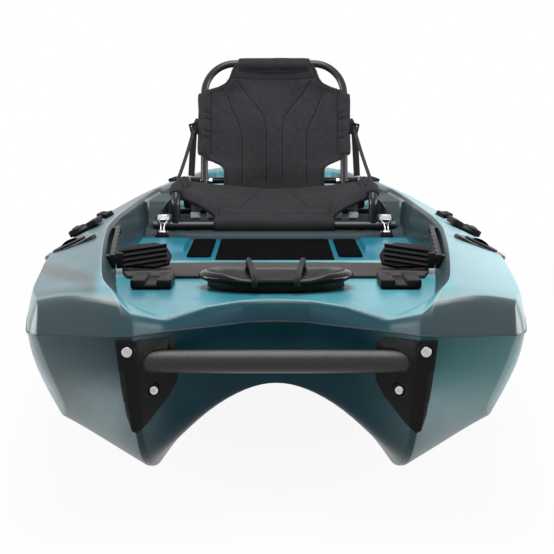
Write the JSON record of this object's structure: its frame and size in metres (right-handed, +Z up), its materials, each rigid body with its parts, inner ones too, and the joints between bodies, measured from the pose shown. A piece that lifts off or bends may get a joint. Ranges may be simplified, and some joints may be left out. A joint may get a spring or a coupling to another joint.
{
  "type": "fishing kayak",
  "caption": "Sit-on-top fishing kayak with a tunnel hull, bow carry bar, framed fabric seat, foot braces, bow hatch and flush rod holders.",
  "frame": {"origin": "Bottom centre of the whole boat, on the ground plane under the keels.", "axes": "+X is the boat's port side, -Y points to the bow, +Y to the stern and +Z up. The boat is symmetric about the plane X = 0."},
  "size_m": [0.914, 3.5078, 0.7496],
  "materials": {
    "hull_plastic": "moulded plastic, slate grey blending into dark teal",
    "deck_plastic": "moulded plastic, light teal blending into slate grey",
    "black_plastic": "matt moulded black",
    "gloss_black_plastic": "smooth black",
    "elastic_cord": "black braided elastic and rubber",
    "coated_tube": "black powder coated aluminium tube",
    "steel": "stainless steel",
    "seat_fabric": "black woven nylon with webbing",
    "foam_mat": "grey brown closed cell foam"
  },
  "bodies": {
    "hull": {"hull_bottom": "hull_plastic", "deck": "deck_plastic", "bow_bracket_port": "black_plastic", "bow_bracket_starboard": "black_plastic", "hatch_rim": "black_plastic", "hatch_bucket": "black_plastic", "rest_block_bow_port": "black_plastic", "rest_block_bow_starboard": "black_plastic", "rest_block_side_port": "black_plastic", "rest_block_side_starboard": "black_plastic", "foot_track_port": "black_plastic", "foot_track_starboard": "black_plastic", "gear_track_port": "black_plastic", "gear_track_starboard": "black_plastic", "seat_latch_base_port": "black_plastic", "seat_latch_base_starboard": "black_plastic", "stern_handle": "black_plastic", "backrest_spacer_port": "black_plastic", "backrest_spacer_starboard": "black_plastic", "rod_holder_front_port": "gloss_black_plastic", "rod_holder_front_starboard": "gloss_black_plastic", "rod_holder_rear_port": "gloss_black_plastic", "rod_holder_rear_starboard": "gloss_black_plastic", "paddle_keeper_port": "elastic_cord", "paddle_keeper_starboard": "elastic_cord", "bow_handle_bar": "coated_tube", "seat_front_bar": "coated_tube", "seat_rear_bar": "coated_tube", "seat_side_frame_port": "coated_tube", "seat_side_frame_starboard": "coated_tube", "seat_cross_tube": "coated_tube", "bow_screw_upper_port": "steel", "bow_screw_upper_starboard": "steel", "bow_screw_lower_port": "steel", "bow_screw_lower_starboard": "steel", "backrest_pivot_bolt_port": "steel", "backrest_pivot_bolt_starboard": "steel", "seat_pan": "seat_fabric", "recline_strap_port": "seat_fabric", "recline_strap_starboard": "seat_fabric", "bow_mat": "foam_mat", "floor_mat_centre": "foam_mat", "floor_mat_port": "foam_mat", "floor_mat_starboard": "foam_mat"},
    "backrest": {"backrest_hoop": "coated_tube", "backrest_sling": "seat_fabric"},
    "hatch_lid": {"hatch_lid": "gloss_black_plastic", "hatch_strap_port": "elastic_cord", "hatch_strap_starboard": "elastic_cord"},
    "drain_plug": {"drain_plug": "black_plastic"},
    "seat_latch_port": {"seat_latch_port": "steel"},
    "foot_pedal_port": {"foot_pedal_port": "black_plastic"},
    "pedal_trigger_port": {"pedal_trigger_port": "steel"},
    "rod_cap_port": {"rod_cap_front_port": "black_plastic"},
    "seat_latch_starboard": {"seat_latch_starboard": "steel"},
    "foot_pedal_starboard": {"foot_pedal_starboard": "black_plastic"},
    "pedal_trigger_starboard": {"pedal_trigger_starboard": "steel"},
    "rod_cap_starboard": {"rod_cap_front_starboard": "black_plastic"}
  },
  "joints": [
    {"name": "backrest_fold", "type": "hinge", "parent": "hull", "child": "backrest", "pos_m": [0, 0.28895, 0.387], "axis": [1, 0, 0], "range_deg": [0, 80]},
    {"name": "hatch_lid_open", "type": "hinge", "parent": "hull", "child": "hatch_lid", "pos_m": [0, -1.36305, 0.3301], "axis": [-1, 0, 0], "range_deg": [0, 85]},
    {"name": "drain_plug_turn", "type": "hinge", "parent": "hull", "child": "drain_plug", "pos_m": [0, 1.53895, 0.362], "axis": [0, 0, 1], "continuous": true},
    {"name": "seat_latch_port_release", "type": "hinge", "parent": "hull", "child": "seat_latch_port", "pos_m": [0.297, -0.17705, 0.281], "axis": [1, 0, 0], "range_deg": [0, 140]},
    {"name": "foot_pedal_port_slide", "type": "slide", "parent": "hull", "child": "foot_pedal_port", "axis": [0.1003, 0.995, 0.0039], "range_m": [0, 0.4]},
    {"name": "pedal_trigger_port_lift", "type": "hinge", "parent": "foot_pedal_port", "child": "pedal_trigger_port", "pos_m": [0.26482, -1.26208, 0.34818], "axis": [0.995, -0.1003, 0], "range_deg": [0, 12], "stiffness_Nm_per_rad": 0.4},
    {"name": "rod_cap_port_open", "type": "hinge", "parent": "hull", "child": "rod_cap_port", "pos_m": [0.40034, -0.99018, 0.34925], "axis": [-0.9101, -0.0096, 0.4143], "range_deg": [0, 110]},
    {"name": "seat_latch_starboard_release", "type": "hinge", "parent": "hull", "child": "seat_latch_starboard", "pos_m": [-0.297, -0.17705, 0.281], "axis": [1, 0, 0], "range_deg": [0, 140]},
    {"name": "foot_pedal_starboard_slide", "type": "slide", "parent": "hull", "child": "foot_pedal_starboard", "axis": [-0.1003, 0.995, 0.0039], "range_m": [0, 0.4]},
    {"name": "pedal_trigger_starboard_lift", "type": "hinge", "parent": "foot_pedal_starboard", "child": "pedal_trigger_starboard", "pos_m": [-0.26482, -1.26208, 0.34818], "axis": [0.995, 0.1003, 0], "range_deg": [0, 12], "stiffness_Nm_per_rad": 0.4},
    {"name": "rod_cap_starboard_open", "type": "hinge", "parent": "hull", "child": "rod_cap_starboard", "pos_m": [-0.40034, -0.99018, 0.34925], "axis": [-0.9101, 0.0096, -0.4143], "range_deg": [0, 110]}
  ]
}
